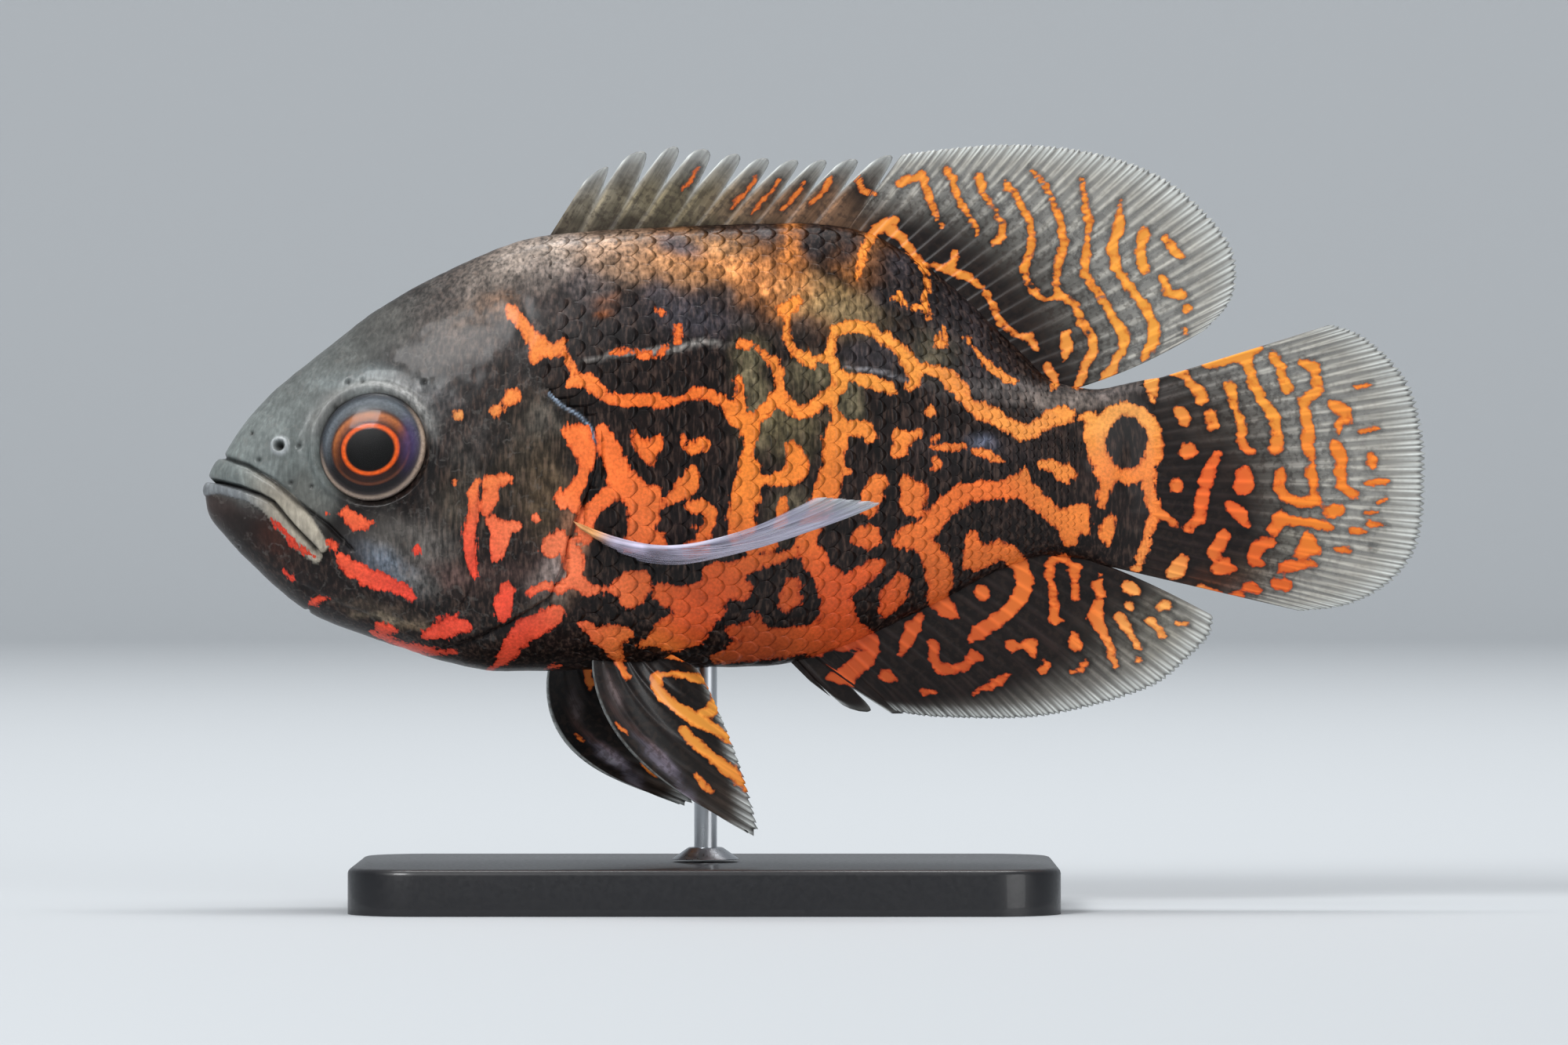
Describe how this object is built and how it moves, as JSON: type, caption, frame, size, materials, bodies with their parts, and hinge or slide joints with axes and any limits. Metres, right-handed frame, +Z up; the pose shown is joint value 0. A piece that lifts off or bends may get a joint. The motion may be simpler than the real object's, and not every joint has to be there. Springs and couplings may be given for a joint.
{
  "type": "oscar fish",
  "caption": "Life-size still model of an oscar, a deep-bodied freshwater cichlid, with its fins spread, held over a flat base by a short rod.",
  "frame": {"origin": "the floor under the stand, at the middle of the base and on the rod's axis", "axes": "+X from the head towards the tail, +Y towards the fish's right side, +Z up"},
  "size_m": [0.1607, 0.0652, 0.1002],
  "materials": {
    "skin": "moist scaled skin, near-black with orange and amber marbling, grey on the head and back",
    "eye": "clear glossy cornea over a brown iris and a black pupil with a thin orange ring",
    "fin": "thin rayed web, dark and blotched with amber at the root, pale translucent grey at the edge",
    "pectoral_fin": "thin clear web with pale lavender rays",
    "stand_base": "satin black",
    "stand_rod": "brushed"
  },
  "bodies": {
    "root": {"head": "skin", "lower_jaw": "skin", "gill_cover_left": "skin", "gill_cover_right": "skin", "torso": "skin", "tail_stalk": "skin", "eye_left": "eye", "eye_right": "eye", "dorsal_fin_spiny": "fin", "dorsal_fin_soft": "fin", "anal_fin_spiny": "fin", "anal_fin_soft": "fin", "tail_fin": "fin", "pectoral_fin_left": "pectoral_fin", "pectoral_fin_right": "pectoral_fin", "pelvic_fin_left": "fin", "pelvic_fin_right": "fin", "stand_base": "stand_base", "stand_rod": "stand_rod"}
  },
  "joints": []
}
